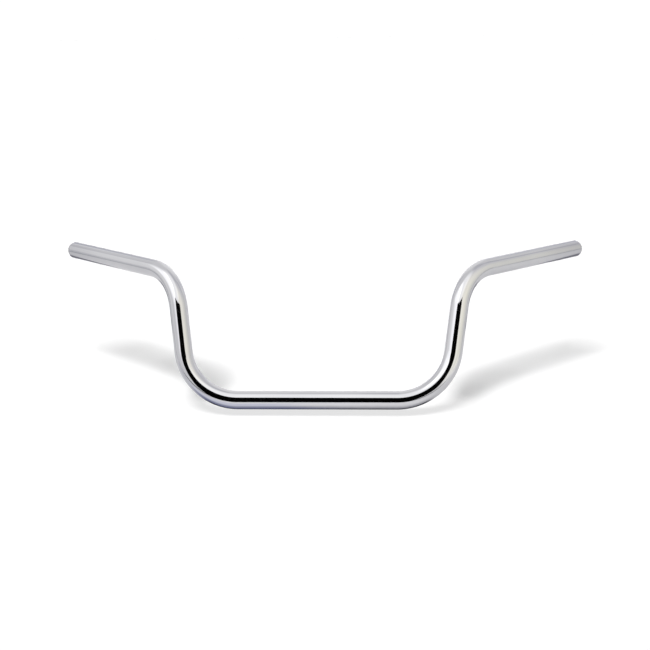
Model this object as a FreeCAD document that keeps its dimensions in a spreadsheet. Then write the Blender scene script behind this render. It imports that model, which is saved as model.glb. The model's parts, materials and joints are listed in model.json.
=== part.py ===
import FreeCAD, Part
import math
import os

import Sketcher

# Motorcycle handlebar: one steel tube bent four times on one die and chromed, with a threaded
# insert pressed into each end.  Millimetres and degrees.
#
# Frame: the origin is the middle of the centre section's axis, where the risers clamp the bar.
# +X runs along the centre section to the clutch side, +Y to the rider, +Z up.  The bar stands
# as it is ridden, so the plane of its two lower bends leans back to the rider.

DRIVING = {
    "tube_diameter": 25.4,      # 1 inch bar
    "wall": 2.4,                # 0.095 inch wall
    "bend_radius": 80,          # centreline radius of the die, the same at all four bends
    "centre_length": 219,       # straight between the two lower bends
    "lower_bend": 81.5,         # centre section to upright
    "upright_length": 66,       # straight between the lower and the upper bend
    "twist": 39.5,              # turn of the tube in the die between those two bends
    "upper_bend": 64.5,         # upright to grip section
    "grip_length": 204,         # straight from the upper bend to the end face
    "lean": 30,                 # of the plane of the lower bends, back from upright
    "lead_length": 3,           # bevel that leads a grip on to the end, along the tube
    "lead_depth": 1.2,          # and across it
    "seat_diameter": 21.2,      # reamed in each end for the insert, down to a stop shoulder
    "seat_depth": 21,
    "insert_recess": 1,         # insert's outer face below the tube's end face
    "insert_length": 20,
    "front_chamfer": 0.6,
    "back_chamfer": 1.5,        # on the insert's inner end, to start it in the seat
    "land_length": 6,           # front land, pressed in the seat
    "relief_length": 7,         # turned down between the two lands
    "relief_depth": 0.5,
    "thread_core": 6.8,         # M8 x 1.25 at its core diameter
    "mouth_chamfer": 0.9,       # countersink at both mouths of the thread
}
NODES = ("bar_tube", "clutch_side_insert", "throttle_side_insert")
CLOSE = 1e-6

doc = FreeCAD.newDocument("handlebar")
dims = doc.addObject("Spreadsheet::Sheet", "dims")
for row, (alias, value) in enumerate(DRIVING.items(), start=1):
    dims.set(f"A{row}", alias)
    dims.set(f"B{row}", str(value))
    dims.setAlias(f"B{row}", alias)
doc.recompute()


def require(condition, message):
    if not condition:
        raise RuntimeError(message)


def add_body(name):
    body = doc.addObject("PartDesign::Body", name)
    body.Label = name
    return body


def origin_plane(body, role):
    return next(f for f in body.Origin.OriginFeatures if f.Role == role), [""]


def add_sketch(body, name, role, offset=None):
    """A sketch on an origin plane of its own body, moved in it by the expression offset."""
    sketch = body.newObject("Sketcher::SketchObject", name)
    sketch.AttachmentSupport = origin_plane(body, role)
    sketch.MapMode = "FlatFace"
    if offset:
        sketch.setExpression("AttachmentOffset", offset)
    return sketch


def bind(sketch, constraint, expression):
    index = sketch.addConstraint(constraint)
    sketch.setExpression(f"Constraints[{index}]", expression)


def add_circle(sketch, diameter):
    """A circle about the sketch's origin, its diameter an expression."""
    circle = sketch.addGeometry(Part.Circle(FreeCAD.Vector(), FreeCAD.Vector(0, 0, 1), 10))
    sketch.addConstraint(Sketcher.Constraint("Coincident", circle, 3, -1, 1))
    bind(sketch, Sketcher.Constraint("Diameter", circle, 20), diameter)


def add_outline(sketch, corners):
    """A closed outline; each corner is expressions for its radius and its depth below zero."""
    points = [FreeCAD.Vector(10 - i % 2, -i, 0) for i in range(len(corners))]
    lines = [sketch.addGeometry(Part.LineSegment(start, end))
             for start, end in zip(points, points[1:] + points[:1])]
    for line, following in zip(lines, lines[1:] + lines[:1]):
        sketch.addConstraint(Sketcher.Constraint("Coincident", line, 2, following, 1))
    for line, (radius, depth) in zip(lines, corners):
        bind(sketch, Sketcher.Constraint("DistanceX", -1, 1, line, 1, 10), radius)
        if depth:
            bind(sketch, Sketcher.Constraint("DistanceY", line, 1, -1, 1, 5), depth)
        else:
            sketch.addConstraint(Sketcher.Constraint("PointOnObject", line, 1, -1))


# The tube's section is a ring sketch square to the tube.  Its own Z is the way the tube goes
# on, and each ring after the first is placed from the one before it.

def move(across, along, axis, angle):
    """Expression for a move along a ring's own X and Z, then a turn about one of its axes."""
    return f"placement(vector({across}; 0; {along}); rotation(vector({axis}); {angle}))"


def past_straight(ring, length, turn="0"):
    """Where the ring is after a straight, turned about the tube's axis."""
    return f"{ring.Name}.AttachmentOffset * " + move("0", length, "0; 0; 1", turn)


def past_bend(ring, angle):
    """Where the ring is after a bend towards its own +X."""
    across = f"dims.bend_radius * (1 - cos({angle}))"
    along = f"dims.bend_radius * sin({angle})"
    return f"{ring.Name}.AttachmentOffset * " + move(across, along, "0; 1; 0", angle)


def add_ring(body, name, offset):
    ring = add_sketch(body, name, "YZ_Plane", offset)
    add_circle(ring, "dims.tube_diameter")
    add_circle(ring, "dims.tube_diameter - 2 * dims.wall")
    return ring


def add_straight(body, name, ring, length):
    pad = body.newObject("PartDesign::Pad", name)
    pad.Profile = ring
    pad.setExpression("Length", length)


def add_bend(body, name, ring, angle):
    """Turns the ring about a construction line one bend radius along its own +X."""
    low, high = FreeCAD.Vector(60, -20, 0), FreeCAD.Vector(60, 20, 0)
    line = ring.addGeometry(Part.LineSegment(low, high), True)
    ring.addConstraint(Sketcher.Constraint("Symmetric", line, 1, line, 2, -1))
    bind(ring, Sketcher.Constraint("DistanceX", -1, 1, line, 1, 60), "dims.bend_radius")
    bind(ring, Sketcher.Constraint("DistanceY", line, 1, line, 2, 40), "dims.bend_radius / 2")
    turned = body.newObject("PartDesign::Revolution", name)
    turned.Profile = ring
    turned.ReferenceAxis = (ring, ["Axis0"])
    turned.setExpression("Angle", angle)


# The tube: its clutch-side half from the middle out, then that half's mirror image.

tube = add_body("bar_tube")
middle = add_ring(tube, "middle_ring", move("0", "0", "0; 0; 1", "90 - dims.lean"))
add_straight(tube, "centre_section", middle, "dims.centre_length / 2")
lower = add_ring(tube, "lower_ring", past_straight(middle, "dims.centre_length / 2"))
add_bend(tube, "lower_bend", lower, "dims.lower_bend")
upright = add_ring(tube, "upright_ring", past_bend(lower, "dims.lower_bend"))
add_straight(tube, "upright", upright, "dims.upright_length")
upper = add_ring(tube, "upper_ring",
                 past_straight(upright, "dims.upright_length", "180 + dims.twist"))
add_bend(tube, "upper_bend", upper, "dims.upper_bend")
grip = add_ring(tube, "grip_ring", past_bend(upper, "dims.upper_bend"))
add_straight(tube, "grip_section", grip, "dims.grip_length")
doc.recompute()

run = (dims.centre_length / 2 + dims.upright_length + dims.grip_length
       + math.radians(dims.lower_bend + dims.upper_bend) * dims.bend_radius)
section = math.pi * dims.wall * (dims.tube_diameter - dims.wall)
bent_volume = tube.Shape.Volume
require(abs(bent_volume / (section * run) - 1) < 1e-4, "the bent tube is not its section's length")

seat = add_sketch(tube, "seat_circle", "YZ_Plane", past_straight(grip, "dims.grip_length"))
add_circle(seat, "dims.seat_diameter")
reamed = tube.newObject("PartDesign::Pocket", "insert_seat")
reamed.Profile = seat
reamed.setExpression("Length", "dims.seat_depth")
doc.recompute()
require(tube.Shape.Volume < bent_volume - 100, "the seat was not cut")

rim = next(number for number, edge in enumerate(tube.Shape.Edges, start=1)
           if isinstance(edge.Curve, Part.Circle)
           and abs(edge.Curve.Radius - dims.tube_diameter / 2) < CLOSE
           and edge.Curve.Center.distanceToPoint(seat.Placement.Base) < CLOSE)
lead = tube.newObject("PartDesign::Chamfer", "grip_lead")
lead.Base = (reamed, [f"Edge{rim}"])
lead.ChamferType = "Two distances"
lead.setExpression("Size", "dims.lead_length")
lead.setExpression("Size2", "dims.lead_depth")
doc.recompute()
half_volume = tube.Shape.Volume

both = tube.newObject("PartDesign::Mirrored", "throttle_side_half")
both.TransformMode = "Whole shape"
both.MirrorPlane = origin_plane(tube, "YZ_Plane")
both.Refine = True
tube.Tip = both
doc.recompute()
require(abs(tube.Shape.Volume - 2 * half_volume) < 1, "the mirrored half is missing")


# The inserts: turned parts, each in its seat at the end of the tube.

def add_insert(name, placement):
    """An insert with a through thread; its own Z leaves the tube, from its outer face."""
    body = add_body(name)
    profile = add_sketch(body, f"{name}_profile", "XZ_Plane")
    land, core = "dims.seat_diameter / 2", "dims.thread_core / 2"
    waist = f"{land} - dims.relief_depth"
    mouth = f"{core} + dims.mouth_chamfer"
    second_land = "dims.land_length + dims.relief_length"
    add_outline(profile, [
        (mouth, None),
        (f"{land} - dims.front_chamfer", None),
        (land, "dims.front_chamfer"),
        (land, "dims.land_length"),
        (waist, "dims.land_length"),
        (waist, second_land),
        (land, second_land),
        (land, "dims.insert_length - dims.back_chamfer"),
        (f"{land} - dims.back_chamfer", "dims.insert_length"),
        (mouth, "dims.insert_length"),
        (core, "dims.insert_length - dims.mouth_chamfer"),
        (core, "dims.mouth_chamfer"),
    ])
    turned = body.newObject("PartDesign::Revolution", f"{name}_turned")
    turned.Profile = profile
    turned.ReferenceAxis = (profile, ["V_Axis"])
    turned.Angle = 360
    body.setExpression("Placement", placement)


END = "seat_circle.Placement"
AXIS = f"{END}.Rotation.Axis"
OTHER_END = (f"placement(vector(-{END}.Base.x; {END}.Base.y; {END}.Base.z);"
             f" rotation(vector({AXIS}.x; -{AXIS}.y; -{AXIS}.z); {END}.Rotation.Angle))")
IN_SEAT = move("0", "-dims.insert_recess", "0; 0; 1", "0")
add_insert("clutch_side_insert", f"{END} * {IN_SEAT}")
add_insert("throttle_side_insert", f"{OTHER_END} * {IN_SEAT}")
doc.recompute()

for item in doc.Objects:
    require(not {"Invalid", "Error"} & set(item.State), f"{item.Name} did not recompute")
solids = {node: doc.getObject(node).Shape for node in NODES}
for node, shape in solids.items():
    require(not shape.isNull() and shape.isValid() and len(shape.Solids) == 1,
            f"{node} is not one valid solid")
for node in NODES[1:]:
    require(solids["bar_tube"].common(solids[node]).Volume < 0.01, f"{node} cuts into the tube")
    require(solids["bar_tube"].distToShape(solids[node])[0] < CLOSE, f"{node} is out of its seat")

os.makedirs("parts", exist_ok=True)
for node, shape in solids.items():
    shape.exportStep(f"parts/{node}.step")
    box = shape.optimalBoundingBox()
    print(f"{node}: {shape.Volume:.0f} mm3, {box.XLength:.1f} x {box.YLength:.1f}"
          f" x {box.ZLength:.1f} mm")
print("tube end, clutch side:", [round(value, 3) for value in seat.Placement.Base])
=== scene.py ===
import json
import math

import bmesh
import bpy
from mathutils import Matrix, Quaternion, Vector


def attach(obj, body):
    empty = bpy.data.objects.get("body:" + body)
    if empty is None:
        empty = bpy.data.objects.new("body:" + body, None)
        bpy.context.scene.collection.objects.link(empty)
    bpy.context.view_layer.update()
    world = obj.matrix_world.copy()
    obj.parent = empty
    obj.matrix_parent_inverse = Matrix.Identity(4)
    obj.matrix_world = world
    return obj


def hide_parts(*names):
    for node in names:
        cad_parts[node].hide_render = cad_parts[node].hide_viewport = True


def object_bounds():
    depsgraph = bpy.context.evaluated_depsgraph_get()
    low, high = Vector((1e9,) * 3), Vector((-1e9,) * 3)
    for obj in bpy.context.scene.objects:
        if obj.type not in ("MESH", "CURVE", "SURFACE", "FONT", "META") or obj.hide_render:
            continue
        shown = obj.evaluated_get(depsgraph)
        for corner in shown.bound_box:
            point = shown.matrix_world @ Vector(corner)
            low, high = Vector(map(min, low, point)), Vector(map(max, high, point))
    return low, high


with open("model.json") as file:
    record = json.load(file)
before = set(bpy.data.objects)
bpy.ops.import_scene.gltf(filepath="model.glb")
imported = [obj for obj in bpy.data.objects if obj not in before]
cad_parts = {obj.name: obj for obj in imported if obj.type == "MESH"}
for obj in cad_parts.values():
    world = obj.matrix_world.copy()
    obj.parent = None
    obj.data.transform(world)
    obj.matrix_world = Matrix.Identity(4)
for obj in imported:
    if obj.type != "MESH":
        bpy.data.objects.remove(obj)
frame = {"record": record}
CAD_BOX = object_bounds()
MOUNTS = {mount["name"]: mount["dims"] for mount in frame["record"]["mounts"]}
MM = 0.001

# The bar's dimensions, the same as the CAD model's, in metres and radians.
RADIUS = MOUNTS["clamp_seat"]["r_mm"] * MM
BORE_RADIUS = 10.3 * MM
SEAT_RADIUS, SEAT_DEPTH = 10.6 * MM, 21 * MM
CENTRE_HALF = MOUNTS["clamp_seat"]["length_mm"] * MM / 2
BEND_RADIUS = 80 * MM
LOWER_BEND, UPPER_BEND = math.radians(81.5), math.radians(64.5)
UPRIGHT_LENGTH = 66 * MM
TWIST = math.radians(39.5)
LEAN = math.radians(30)
LEAD_LENGTH, LEAD_DEPTH = 3 * MM, 1.2 * MM
GRIP_LENGTH = MOUNTS["clutch_grip_seat"]["length_mm"] * MM + LEAD_LENGTH
BEND_FLATTENING = 0.22 * MM      # a mandrel bend's outside is drawn in a little

INSERT_LENGTH, INSERT_RECESS = 20 * MM, 1 * MM
FRONT_CHAMFER, BACK_CHAMFER = 0.6 * MM, 1.5 * MM
LAND_LENGTH, RELIEF_LENGTH, RELIEF_DEPTH = 6 * MM, 7 * MM, 0.5 * MM
THREAD_CREST = MOUNTS["clutch_weight_thread"]["r_mm"] * MM
THREAD_ROOT, THREAD_PITCH = 4.0 * MM, 1.25 * MM
MOUTH_CHAMFER = 0.9 * MM

TUBE_EDGE, INSERT_EDGE = 0.06 * MM, 0.1 * MM      # radii of the rounded edges
MOUTH_BREAK = 0.15 * MM          # the seat's broken edge, at the tube's end

FLOOR_GAP = 8 * MM               # between the bar and the floor
FLOOR = -RADIUS - FLOOR_GAP
TUBE_SIDES, INSERT_SIDES = 144, 96
THREAD_STEPS = 12                # rings in one turn of the thread
THREAD_CUT = 0.125               # overshoot of the thread's wave, cut flat at crest and root
BEND_STEP, STRAIGHT_STEP, BORE_STEP = 2 * MM, 5 * MM, 8 * MM


# ---------------------------------------------------------------- the centreline
# A station is (point, across, aside, along). The three axes are carried round the bends
# without twisting, so neighbouring rings join with straight strips.

def straight_run(start, length):
    """(function from distance to station, length, direction towards the bend's centre)"""
    point, across, aside, along = start

    def at(s):
        return point + along * s, across, aside, along
    return at, length, None


def bend_run(start, towards, angle):
    """The same for a bend of the die's radius; towards points at the bend's centre."""
    point, across, aside, along = start
    centre, axis = point + towards * BEND_RADIUS, along.cross(towards)

    def at(s):
        turn = Matrix.Rotation(s / BEND_RADIUS, 3, axis)
        place = centre - turn @ (towards * BEND_RADIUS)
        return place, turn @ across, turn @ aside, turn @ along
    inside = Vector((towards.dot(across), towards.dot(aside)))
    return at, BEND_RADIUS * angle, inside


def clutch_side_runs():
    """The runs from the middle of the bar to its clutch-side end, and the end's station."""
    up = Vector((0, math.sin(LEAN), math.cos(LEAN)))
    along = Vector((1, 0, 0))
    station = (Vector(), up, along.cross(up), along)
    runs = []

    def add(run):
        runs.append(run)
        return run[0](run[1])

    station = add(straight_run(station, CENTRE_HALF))
    station = add(bend_run(station, up, LOWER_BEND))
    inwards = station[1]
    station = add(straight_run(station, UPRIGHT_LENGTH))
    towards = Matrix.Rotation(math.pi + TWIST, 3, station[3]) @ inwards
    station = add(bend_run(station, towards, UPPER_BEND))
    station = add(straight_run(station, GRIP_LENGTH))
    return runs, station


RUNS, END_STATION = clutch_side_runs()
HALF_LENGTH = sum(length for _, length, _ in RUNS)


def mirrored(station):
    return tuple(Vector((-v.x, v.y, v.z)) for v in station)


def station_at(distance):
    """Station at a distance from the middle, negative on the throttle side, with the
    inside of its bend and how deep into the bend it is, from 0 to 1."""
    rest = abs(distance)
    for at, length, inside in RUNS[:-1]:
        if rest <= length:
            break
        rest -= length
    else:
        at, length, inside = RUNS[-1]
    station = at(rest)
    depth = math.sin(math.pi * rest / length) ** 2 if inside else 0
    return (mirrored(station) if distance < 0 else station), inside, depth


def ring_distances(bend_step, straight_step):
    """Distances from the middle at which the tube gets a ring."""
    marks, start = [0.0], 0.0
    for _, length, inside in RUNS:
        count = math.ceil(length / (bend_step if inside else straight_step))
        marks += [start + length * i / count for i in range(1, count + 1)]
        start += length
    return marks


# ---------------------------------------------------------------- meshes
def rounded(outline, radius, steps=3, hold=0.35 * MM):
    """A turned outline's inner points, each corner rounded. Long sides get one more
    point near each corner, so that they stay flat under smooth shading."""
    points = []
    for before, corner, after in zip(outline, outline[1:], outline[2:]):
        a, b, c = Vector(before), Vector(corner), Vector(after)
        inwards, outwards = (a - b).normalized(), (c - b).normalized()
        half = inwards.angle(outwards) / 2
        reach = radius / math.tan(half)
        centre = b + (inwards + outwards).normalized() * (radius / math.sin(half))
        first, last = b + inwards * reach, b + outwards * reach
        if (a - b).length > 4 * hold:
            points.append(b + inwards * (reach + hold))
        for i in range(steps + 1):
            ray = first.lerp(last, i / steps) - centre
            points.append(centre + ray.normalized() * radius)
        if (c - b).length > 4 * hold:
            points.append(b + outwards * (reach + hold))
    return [tuple(p) for p in points]


def skin(name, rings, ring_slots, materials):
    """A closed mesh through rings of (point, sleeve coordinate), the last joined to the
    first. The sleeve coordinate is the place on the tube as if it were straight."""
    sides = len(rings[0])
    faces = []
    for i in range(len(rings)):
        here, there = i * sides, (i + 1) % len(rings) * sides
        for j in range(sides):
            k = (j + 1) % sides
            faces.append((here + j, here + k, there + k, there + j))
    mesh = bpy.data.meshes.new(name)
    mesh.from_pydata([point for ring in rings for point, _ in ring], [], faces)
    sleeve = mesh.attributes.new("sleeve", "FLOAT_VECTOR", "POINT")
    flat = [value for ring in rings for _, place in ring for value in place]
    sleeve.data.foreach_set("vector", flat)
    for material in materials:
        mesh.materials.append(material)
    slots = [slot for slot in ring_slots for _ in range(sides)]
    mesh.polygons.foreach_set("material_index", slots)
    mesh.polygons.foreach_set("use_smooth", [True] * len(faces))
    whole = bmesh.new()
    whole.from_mesh(mesh)
    bmesh.ops.recalc_face_normals(whole, faces=whole.faces)
    whole.to_mesh(mesh)
    whole.free()
    piece = bpy.data.objects.new(name, mesh)
    bpy.context.scene.collection.objects.link(piece)
    return piece


def tube_ring(distance, radius):
    station, inside, depth = station_at(distance)
    point, across, aside, _ = station
    ring = []
    for j in range(TUBE_SIDES):
        angle = math.tau * j / TUBE_SIDES
        x, y = math.cos(angle), math.sin(angle)
        r = radius
        if inside:
            r -= BEND_FLATTENING * depth * max(0, -inside.dot((x, y))) ** 2
        place = point + across * (r * x) + aside * (r * y)
        ring.append((place, (radius * x, radius * y, distance)))
    return ring


def build_tube(chrome, bare_steel):
    """The bar: outside, bevelled ends, the inserts' seats and the bore, in one skin."""
    end = HALF_LENGTH
    bevel_start = end - LEAD_LENGTH
    shoulder = end - SEAT_DEPTH
    outline = [(bevel_start - STRAIGHT_STEP, RADIUS),
               (bevel_start, RADIUS),
               (end, RADIUS - LEAD_DEPTH),
               (end, SEAT_RADIUS + MOUTH_BREAK),
               (end - MOUTH_BREAK, SEAT_RADIUS),
               (shoulder, SEAT_RADIUS),
               (shoulder, BORE_RADIUS),
               (shoulder - BORE_STEP, BORE_RADIUS)]
    mouth = rounded(outline, TUBE_EDGE)
    outside = [(s, RADIUS) for s in ring_distances(BEND_STEP, STRAIGHT_STEP)
               if s < bevel_start - MM]
    bore = [(s, BORE_RADIUS) for s in reversed(ring_distances(BEND_STEP * 2, BORE_STEP))
            if s < shoulder - MM]
    half = outside + mouth + bore
    loop = half + [(-s, r) for s, r in reversed(half) if s > 0]
    slots = [0 if r > SEAT_RADIUS + MOUTH_BREAK / 2 else 1 for _, r in loop]
    rings = [tube_ring(s, r) for s, r in loop]
    return skin("handlebar_tube", rings, slots, [chrome, bare_steel])


def build_insert(name, side, steel):
    """A turned insert with a helical thread. side is 1 for clutch and -1 for throttle."""
    point, across, aside, along = END_STATION if side > 0 else mirrored(END_STATION)
    back = -INSERT_LENGTH
    waist_start, waist_end = -LAND_LENGTH, -LAND_LENGTH - RELIEF_LENGTH
    waist = SEAT_RADIUS - RELIEF_DEPTH
    mouth_radius = THREAD_CREST + MOUTH_CHAMFER
    outline = [(0, mouth_radius),
               (0, SEAT_RADIUS - FRONT_CHAMFER),
               (-FRONT_CHAMFER, SEAT_RADIUS),
               (waist_start, SEAT_RADIUS),
               (waist_start, waist),
               (waist_end, waist),
               (waist_end, SEAT_RADIUS),
               (back + BACK_CHAMFER, SEAT_RADIUS),
               (back, SEAT_RADIUS - BACK_CHAMFER),
               (back, mouth_radius),
               (back + MOUTH_CHAMFER, THREAD_CREST)]
    profile = rounded(outline, INSERT_EDGE)

    def ring(z, radius_at):
        place = point + along * (z - INSERT_RECESS)
        circle = []
        for j in range(INSERT_SIDES):
            angle = math.tau * j / INSERT_SIDES
            r = radius_at(angle)
            x, y = r * math.cos(angle), r * math.sin(angle)
            circle.append((place + across * x + aside * y, (x, y, z)))
        return circle

    rings = [ring(z, lambda angle, r=r: r) for z, r in profile]
    first, last = back + MOUTH_CHAMFER, -MOUTH_CHAMFER
    steps = round((last - first) / THREAD_PITCH * THREAD_STEPS)
    for i in range(steps + 1):
        z = first + (last - first) * i / steps
        fade = min(1, (z - first) / THREAD_PITCH, (last - z) / THREAD_PITCH)

        def threaded(angle, z=z, fade=fade):
            turn = (z / THREAD_PITCH - side * angle / math.tau) % 1
            wave = (1 + 2 * THREAD_CUT) * (1 - abs(2 * turn - 1)) - THREAD_CUT
            flank = min(1, max(0, wave))
            return THREAD_CREST + (THREAD_ROOT - THREAD_CREST) * flank * fade
        rings.append(ring(z, threaded))
    rings.append(ring(0, lambda angle: mouth_radius))
    return skin(name, rings, [0] * len(rings), [steel])


# ---------------------------------------------------------------- node helpers
def node(tree, kind, inputs=None, **settings):
    """A new node. An input's value is a constant or the socket that feeds it."""
    made = tree.nodes.new("ShaderNode" + kind)
    for name, value in settings.items():
        setattr(made, name, value)
    for name, value in (inputs or {}).items():
        socket = made.inputs[name]
        if isinstance(value, bpy.types.NodeSocket):
            tree.links.new(value, socket)
        else:
            socket.default_value = value
    return made


def number(tree, operation, a, b=0.0):
    return node(tree, "Math", {0: a, 1: b}, operation=operation).outputs[0]


def mixed(tree, factor, a, b):
    """Colour a where factor is 0, b where it is 1."""
    mix = node(tree, "Mix", {0: factor, 6: a, 7: b}, data_type="RGBA")
    return mix.outputs[2]


def noise(tree, place, stretch, detail=2.0):
    """Noise over the straightened tube, or the floor. stretch: cycles a metre each way."""
    stretched = node(tree, "VectorMath", {0: place, 1: stretch}, operation="MULTIPLY")
    inputs = {"Vector": stretched.outputs[0], "Scale": 1.0, "Detail": detail}
    return node(tree, "TexNoise", inputs).outputs["Fac"]


def ranged(tree, value, low, high, to_low, to_high, curve="LINEAR"):
    inputs = {"Value": value, "From Min": low, "From Max": high,
              "To Min": to_low, "To Max": to_high}
    return node(tree, "MapRange", inputs, interpolation_type=curve).outputs["Result"]


def new_material(name):
    material = bpy.data.materials.new(name)
    material.use_nodes = True
    return material, material.node_tree, material.node_tree.nodes["Principled BSDF"]


def sleeve_place(tree):
    return node(tree, "Attribute", attribute_name="sleeve").outputs["Vector"]


def split(tree, vector):
    return node(tree, "SeparateXYZ", {0: vector}).outputs


def from_axis(tree, place):
    """How far a place on the sleeve is from the tube's axis."""
    across, aside, _ = split(tree, place)
    flat = node(tree, "CombineXYZ", {0: across, 1: aside}).outputs[0]
    return node(tree, "VectorMath", {0: flat}, operation="LENGTH").outputs["Value"]


def bumped(tree, shader, height, strength, distance):
    bump = node(tree, "Bump", {"Strength": strength, "Distance": distance, "Height": height})
    tree.links.new(bump.outputs["Normal"], shader.inputs["Normal"])


def scaled(tree, colour, amount):
    return node(tree, "VectorMath", {0: colour, 3: amount}, operation="SCALE").outputs[0]


def with_light(tree, light, amount, colour):
    """The light with an amount of a colour added."""
    glow = scaled(tree, colour, amount)
    return node(tree, "VectorMath", {0: light, 1: glow}).outputs[0]


# ---------------------------------------------------------------- materials
PAINTED_SHADE_END = 120 * MM      # length at each end over which the chrome is painted darker, a painted shade


def chrome_plate():
    """Bright chrome over a polished tube, a little greyer towards the ends: a painted shade for
    darker reflections there. Duller on the bevels, which are cut and not polished: rougher
    there, and painted much darker, a painted shade for the dark line at each end."""
    material, tree, shader = new_material("polished_chrome")
    place = sleeve_place(tree)
    shader.inputs["Metallic"].default_value = 1.0
    cloud = noise(tree, place, (60, 60, 12), detail=3.0)
    tone = ranged(tree, cloud, 0.35, 0.65, 0, 1)
    colour = mixed(tree, tone, (0.618, 0.620, 0.634, 1), (0.650, 0.651, 0.662, 1))
    distance = number(tree, "ABSOLUTE", split(tree, place)[2])
    # painted shade: the chrome's colour darkens towards each end, standing for darker
    # reflections there
    painted_shade_near_end = ranged(tree, distance, HALF_LENGTH - PAINTED_SHADE_END, HALF_LENGTH,
                      0, 1, "SMOOTHSTEP")
    colour = mixed(tree, painted_shade_near_end, colour, (0.54, 0.54, 0.56, 1))
    bevel_start = HALF_LENGTH - LEAD_LENGTH
    bevel = ranged(tree, distance, bevel_start - 0.1 * MM, bevel_start + 0.2 * MM, 0, 1)
    # painted shade: the bevels are painted much darker, for the dark line at each end of the
    # bar
    colour = mixed(tree, bevel, colour, (0.24, 0.24, 0.255, 1))
    tree.links.new(colour, shader.inputs["Base Color"])

    polish = noise(tree, place, (60, 60, 2500), detail=1.0)
    smears = noise(tree, place, (45, 45, 20), detail=3.0)
    lines = ranged(tree, polish, 0.3, 0.7, 0.0, 0.02)
    film = ranged(tree, smears, 0.45, 0.7, 0.04, 0.065)
    finish = number(tree, "ADD", lines, film)
    rough = number(tree, "ADD", finish, number(tree, "MULTIPLY", bevel, 0.12))
    tree.links.new(rough, shader.inputs["Roughness"])

    ripple = noise(tree, place, (90, 90, 55), detail=1.0)
    bumped(tree, shader, ripple, 1.0, 12e-6)
    return material


def bare_tube_steel():
    """The bore: drawn steel with a dull oxide skin, and reamed bright at the seats."""
    material, tree, shader = new_material("bare_tube_steel")
    place = sleeve_place(tree)
    shader.inputs["Metallic"].default_value = 1.0
    drawn = noise(tree, place, (900, 900, 12), detail=3.0)
    patches = noise(tree, place, (70, 70, 40), detail=4.0)
    oxide = mixed(tree, ranged(tree, patches, 0.35, 0.65, 0, 1),
                  (0.16, 0.15, 0.145, 1), (0.27, 0.24, 0.21, 1))
    reamed = ranged(tree, from_axis(tree, place),
                    BORE_RADIUS + 0.1 * MM, SEAT_RADIUS - 0.1 * MM, 0, 1)
    colour = mixed(tree, reamed, oxide, (0.50, 0.505, 0.515, 1))
    tree.links.new(colour, shader.inputs["Base Color"])
    dull = ranged(tree, drawn, 0.3, 0.7, 0.48, 0.62)
    rough = node(tree, "Mix", {0: reamed, 2: dull, 3: 0.26})
    tree.links.new(rough.outputs[0], shader.inputs["Roughness"])
    bumped(tree, shader, drawn, 0.6, 20e-6)
    return material


def turned_steel():
    """The inserts: bright steel with fine rings left by the lathe."""
    material, tree, shader = new_material("turned_steel")
    place = sleeve_place(tree)
    shader.inputs["Metallic"].default_value = 1.0
    along = split(tree, place)[2]
    feed = node(tree, "CombineXYZ", {0: from_axis(tree, place), 1: along})
    rings = noise(tree, feed.outputs[0], (3800, 3800, 0), detail=1.0)
    patches = noise(tree, place, (300, 300, 300), detail=3.0)
    colour = mixed(tree, ranged(tree, patches, 0.35, 0.7, 0, 1),
                   (0.46, 0.465, 0.475, 1), (0.55, 0.55, 0.55, 1))
    tree.links.new(colour, shader.inputs["Base Color"])
    rough = ranged(tree, rings, 0.3, 0.7, 0.22, 0.38)
    tree.links.new(rough, shader.inputs["Roughness"])
    bumped(tree, shader, rings, 0.8, 12e-6)
    return material


# ---------------------------------------------------------------- the studio
def direction(azimuth, elevation):
    """Unit vector. Azimuth 0 is -Y, where the camera stands, and 90 is +X."""
    a, e = math.radians(azimuth), math.radians(elevation)
    return Vector((math.sin(a) * math.cos(e), -math.cos(a) * math.cos(e), math.sin(e)))


def band(tree, value, middle, half, soft):
    """1 within half of middle, easing to 0 over soft more."""
    away = number(tree, "ABSOLUTE", number(tree, "SUBTRACT", value, middle))
    return ranged(tree, away, half, half + soft, 1, 0, "SMOOTHSTEP")


def patch(tree, one, one_band, other, other_band):
    """1 where both values are within their bands."""
    return number(tree, "MULTIPLY", band(tree, one, *one_band),
                  band(tree, other, *other_band))


# Colour of the tent's cloth, then what each lit or shaded part of it adds:
# ((azimuth, half width, softness), (elevation, half height, softness), colour)
TENT_CLOTH = (0.825, 0.822, 0.845)
TENT_PARTS = [((-66, 22, 28), (51, 12, 17), (0.66, 0.66, 0.66)),      # left soft box
              ((50, 10, 48), (40, 6, 42), (0.34, 0.31, 0.19)),        # cream reflector
              ((36, 6, 14), (26, 8, 14), (0.10, 0.10, 0.08)),         # its bright inner edge
              ((85, 20, 22), (14, 12, 18), (0.03, 0.025, -0.025)),    # right wall
              ((60, 12, 14), (2, 6, 8), (0.22, 0.205, 0.18)),         # right hem
              ((130, 20, 40), (60, 15, 20), (-0.04, -0.04, -0.03)),   # back right corner
              ((150, 22, 20), (65, 4, 9), (-0.13, -0.13, -0.12)),     # back right top seam
              ((128, 2, 8), (46, 8, 12), (-0.08, -0.08, -0.08)),      # back right fold
              ((-103, 13, 13), (22, 8, 14), (0.14, 0.14, 0.13)),      # left wall
              ((-95, 25, 25), (-3, 5, 7), (-0.06, -0.06, -0.055)),    # left hem
              ((-119, 1.5, 6), (20, 16, 10), (-0.16, -0.16, -0.15)),  # left rear seam
              ((110, 1.5, 6), (14, 10, 10), (-0.11, -0.11, -0.10)),   # right rear seam
              ((123, 4, 9), (37, 7, 14), (-0.12, -0.12, -0.11))]      # right rear fold
# A round light overhead: (azimuth, elevation), (full, none) in degrees from it, colour
TOP_LIGHT = ((-25, 72), (16, 36), (0.44, 0.44, 0.43))
TENT_WHITE = (1.05, 1.05, 1.05, 1)       # how the camera sees the tent


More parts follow.
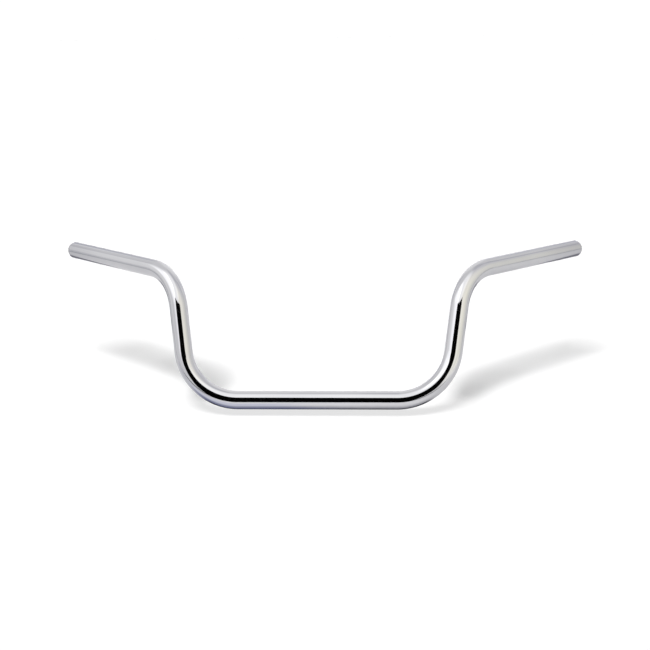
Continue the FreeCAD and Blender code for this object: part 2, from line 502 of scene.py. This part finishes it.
def build_tent():
    """A white tent, lit through its cloth, that the chrome reflects."""
    world = bpy.data.worlds.new("tent")
    bpy.context.scene.world = world
    world.use_nodes = True
    tree = world.node_tree
    look = node(tree, "TexCoord").outputs["Generated"]
    right, back, up = split(tree, look)
    front = number(tree, "MULTIPLY", back, -1.0)
    azimuth = number(tree, "DEGREES", number(tree, "ARCTAN2", right, front))
    elevation = number(tree, "DEGREES", number(tree, "ARCSINE", up))

    light = TENT_CLOTH
    for across, upwards, colour in TENT_PARTS:
        amount = patch(tree, azimuth, across, elevation, upwards)
        light = with_light(tree, light, amount, colour)
    place, (full, none), colour = TOP_LIGHT
    facing = node(tree, "VectorMath", {0: look, 1: tuple(direction(*place))},
                  operation="DOT_PRODUCT").outputs["Value"]
    amount = ranged(tree, facing, math.cos(math.radians(none)),
                    math.cos(math.radians(full)), 0, 1, "SMOOTHSTEP")
    light = with_light(tree, light, amount, colour)
    seen = node(tree, "LightPath").outputs["Is Camera Ray"]
    colour = mixed(tree, seen, light, TENT_WHITE)
    tree.links.new(colour, tree.nodes["Background"].inputs["Color"])
    world.cycles_visibility.diffuse = False


def flat_panel(name, corners, material):
    mesh = bpy.data.meshes.new(name)
    mesh.from_pydata(corners, [], [tuple(range(len(corners)))])
    mesh.materials.append(material)
    panel = bpy.data.objects.new(name, mesh)
    bpy.context.scene.collection.objects.link(panel)
    return panel


def show_to_reflections_only(panel):
    panel.visible_camera = False
    panel.visible_diffuse = False
    panel.visible_shadow = False


# The back wall's half width, distance and top, and its cloth
WALL_REACH, WALL_PLACE, WALL_TOP = 2.2, 1.6, 2.3
WALL_CLOTH = (0.815, 0.812, 0.835)
# What each part of the back wall adds to its cloth:
# (middle, half width, softness) in x, the same in z, colour
WALL_PARTS = [((0.05, 0.30, 0.40), (1.1, 0.7, 0.7), (0.15, 0.15, 0.145)),
              ((-0.93, 0.17, 0.28), (0.7, 0.3, 0.5), (-0.20, -0.19, -0.16)),
              ((0.80, 0.20, 0.30), (0.80, 0.25, 0.4), (-0.12, -0.11, -0.08)),
              ((-1.36, 0.22, 0.20), (1.05, 0.15, 0.20), (0.22, 0.22, 0.22)),
              ((1.28, 0.18, 0.20), (0.97, 0.13, 0.20), (0.24, 0.24, 0.24)),
              ((0, 2.3, 0.1), (-0.02, 0.02, 0.12), (-0.10, -0.10, -0.09))]


FLOOR_REACH = 60
# Painted light and shade on the floor, which only the chrome sees: lighter and darker patches,
# a painted shadow beneath the bar and a painted dark reflection in front. Later ones over
# earlier ones: (middle, half width, softness) in x, the same in y, colour
PAINTED_FLOOR_LIGHT_AND_SHADE = [((-32, 30, 0.3), (0, 3, 1), (0.37, 0.375, 0.39)),            # far left
               ((-1.75, 0.50, 0.3), (0, 3, 1), (0.31, 0.315, 0.33)),
               ((-0.75, 0.35, 0.30), (0.2, 0.4, 0.4), (0.455, 0.451, 0.463)),
               ((33, 30.6, 0.7), (0, 3, 1), (0.33, 0.335, 0.34)),           # far right
               ((1.0, 0.3, 0.4), (0, 0.6, 0.5), (0.46, 0.457, 0.465)),
               ((-1.3, 0.95, 0.25), (-0.45, 0.45, 0.12), (0.375, 0.377, 0.400)),
               ((3.4, 2.8, 0.5), (-1.25, 1.10, 0.25), (0.560, 0.555, 0.550)),
               # painted shade on the floor under the grips' ends, seen in their lower edges
               ((-0.57, 0.09, 0.07), (0.48, 0.07, 0.06), (0.13, 0.13, 0.15)),
               ((0.56, 0.08, 0.07), (0.43, 0.05, 0.06), (0.13, 0.13, 0.15)),
               # painted light: a brighter patch in front of the middle
               ((0, 0.14, 0.1), (-0.10, 0.055, 0.035), (0.53, 0.526, 0.535)),
               # painted shade in front of and beneath the bar, darkest along the line beneath
               # it
               ((-0.16, 0.08, 0.08), (-0.035, 0.010, 0.030), (0.42, 0.425, 0.49)),
               ((0, 0.12, 0.08), (0, 0.001, 0.026), (0.13, 0.132, 0.15)),   # painted shadow beneath the bar
               ((-0.11, 0.05, 0.12), (0, 0.004, 0.026), (0.12, 0.13, 0.20)),
               ((0, 0.15, 0.03), (0.019, 0.018, 0.006), (0.020, 0.021, 0.030)),
               ((-0.25, 0.65, 0.35), (-1.2, 0.935, 0.08), (0.001, 0.001, 0.001))]   # painted dark reflection in front, seen only by the chrome


# How bright the camera sees the floor, and what the key light gives a white floor
FLOOR_WHITE, KEY_ON_FLOOR = 1.03, 0.973
# Elsewhere: the share of the floor's light that comes from above, and the light from below
FLOOR_SHARE, FLOOR_GLOW = 0.80, 0.265
CLOTH_GLOW = 0.87        # the cloth's own light in reflections, as a share of its colour
# Parts of the floor that are lit more from above, or more from below: place, and the
# share that comes from above
FLOOR_LIGHTS = [((0.250, 0.04, 0.05), (0.145, 0.03, 0.04), 0.97),
                ((-0.19, 0.05, 0.05), (0.18, 0.05, 0.04), 0.97),
                ((0, 0.21, 0.05), (0.0, 0.04, 0.05), 0.29)]


def grey(level):
    return (level, level, level, 1)


def build_floor():
    """A light table, lit from above and from below: more from below in the middle, where
    shadows are faint, and more from above behind the uprights, where they are dark. The camera
    sees it white. The chrome sees a cooler cloth with painted light and shade on it: painted
    lighter and darker patches, a painted shadow beneath the bar and a painted dark reflection
    in front."""
    material, tree, shader = new_material("white_floor")
    shader.inputs["Roughness"].default_value = 1.0
    shader.inputs["Specular IOR Level"].default_value = 0.0
    place = node(tree, "NewGeometry").outputs["Position"]
    x, y, _ = split(tree, place)
    weave = noise(tree, place, (160, 160, 160), detail=2.0)
    cloth = mixed(tree, ranged(tree, weave, 0.3, 0.7, 0, 1),
                  (0.39, 0.388, 0.402, 1), (0.44, 0.438, 0.450, 1))

    # painted light and shade on the floor, seen only in reflections
    for across, away, colour in PAINTED_FLOOR_LIGHT_AND_SHADE:
        cloth = mixed(tree, patch(tree, x, across, y, away), cloth, (*colour, 1))
    seen = node(tree, "LightPath").outputs["Is Camera Ray"]
    top, below = grey(FLOOR_SHARE), grey(FLOOR_GLOW)
    for across, away, share in FLOOR_LIGHTS:
        lit = patch(tree, x, across, y, away)
        top = mixed(tree, lit, top, grey(share))
        below = mixed(tree, lit, below, grey(FLOOR_WHITE - KEY_ON_FLOOR * share))
    lit_cloth = scaled(tree, cloth, CLOTH_GLOW)
    tree.links.new(mixed(tree, seen, cloth, top), shader.inputs["Base Color"])
    tree.links.new(mixed(tree, seen, lit_cloth, below), shader.inputs["Emission Color"])
    shader.inputs["Emission Strength"].default_value = 1.0
    reach = FLOOR_REACH
    corners = [(-reach, -reach, FLOOR), (reach, -reach, FLOOR),
               (reach, reach, FLOOR), (-reach, reach, FLOOR)]
    flat_panel("floor", corners, material)


def build_back_wall():
    """Cloth behind the bar, lit unevenly, which only reflections see."""
    material, tree, shader = new_material("back_cloth")
    shader.inputs["Base Color"].default_value = (0, 0, 0, 1)
    shader.inputs["Specular IOR Level"].default_value = 0.0
    place = node(tree, "NewGeometry").outputs["Position"]
    x, _, z = split(tree, place)
    light = WALL_CLOTH
    for across, upwards, colour in WALL_PARTS:
        light = with_light(tree, light, patch(tree, x, across, z, upwards), colour)
    tree.links.new(light, shader.inputs["Emission Color"])
    shader.inputs["Emission Strength"].default_value = 1.0
    corners = [(-WALL_REACH, WALL_PLACE, FLOOR), (WALL_REACH, WALL_PLACE, FLOOR),
               (WALL_REACH, WALL_PLACE, WALL_TOP), (-WALL_REACH, WALL_PLACE, WALL_TOP)]
    show_to_reflections_only(flat_panel("back_wall", corners, material))


# The black card stands behind the camera. Its outline: x and z. Its top sags in the middle.
CARD_PLACE = -2.1
CARD_OUTLINE = [(-1.75, 0.35), (-1.40, FLOOR), (0.58, FLOOR), (1.38, 0.35), (1.38, 2.40),
                (1.50, 2.92), (0.45, 2.70), (-0.10, 2.63), (-0.78, 2.76), (-1.72, 3.00),
                (-1.62, 2.20)]


def build_black_card():
    """The dark space behind the camera, which only reflections see."""
    material, _, shader = new_material("black_card")
    shader.inputs["Base Color"].default_value = (0.002, 0.002, 0.002, 1)
    shader.inputs["Specular IOR Level"].default_value = 0.0
    corners = [(x, CARD_PLACE, z) for x, z in CARD_OUTLINE]
    show_to_reflections_only(flat_panel("black_card", corners, material))


KEY_STRENGTH, KEY_SPREAD = 3.3, math.radians(25)
KEY_DIRECTION = Vector((0.225, 0.34, -1))


def build_key_light():
    """A wide soft light from above, a little in front and to the left. It casts the shadows."""
    lamp = bpy.data.lights.new("key", "SUN")
    lamp.energy = KEY_STRENGTH
    lamp.angle = KEY_SPREAD
    key = bpy.data.objects.new("key", lamp)
    key.rotation_mode = "QUATERNION"
    key.rotation_quaternion = KEY_DIRECTION.to_track_quat("-Z", "Y")
    key.visible_glossy = False
    bpy.context.scene.collection.objects.link(key)


# Where the camera looks, from the middle of the bar's box, and where it stands
LOOK_OFFSET = Vector((6.9, 0, -8.8)) * MM
CAMERA_AZIMUTH, CAMERA_ELEVATION = 2.15, 16.52
CAMERA_ROLL, CAMERA_DISTANCE = math.radians(-0.646), 1.4825
SENSOR_WIDTH, LENS = 36, 55.385          # in millimetres, as Blender takes them


def build_camera():
    low, high = CAD_BOX
    target = (Vector(low) + Vector(high)) / 2 + LOOK_OFFSET
    away = direction(CAMERA_AZIMUTH, CAMERA_ELEVATION)
    camera = bpy.data.cameras.new("camera")
    camera.sensor_width = SENSOR_WIDTH
    camera.lens = LENS
    stand = bpy.data.objects.new("camera", camera)
    stand.location = target + away * CAMERA_DISTANCE
    stand.rotation_mode = "QUATERNION"
    level = (-away).to_track_quat("-Z", "Y")
    stand.rotation_quaternion = level @ Quaternion((0, 0, 1), CAMERA_ROLL)
    bpy.context.scene.collection.objects.link(stand)
    bpy.context.scene.camera = stand


# ---------------------------------------------------------------- everything together
def place(piece, cad_node, slot):
    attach(piece, "root")
    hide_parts(cad_node)


steel = turned_steel()
place(build_tube(chrome_plate(), bare_tube_steel()), "bar_tube", "chrome")
place(build_insert("clutch_end_insert", 1, steel), "clutch_side_insert", "insert_steel")
place(build_insert("throttle_end_insert", -1, steel), "throttle_side_insert", "insert_steel")

build_camera()
build_tent()
build_floor()
build_back_wall()
build_black_card()
build_key_light()
bpy.context.scene.view_settings.view_transform = "Standard"
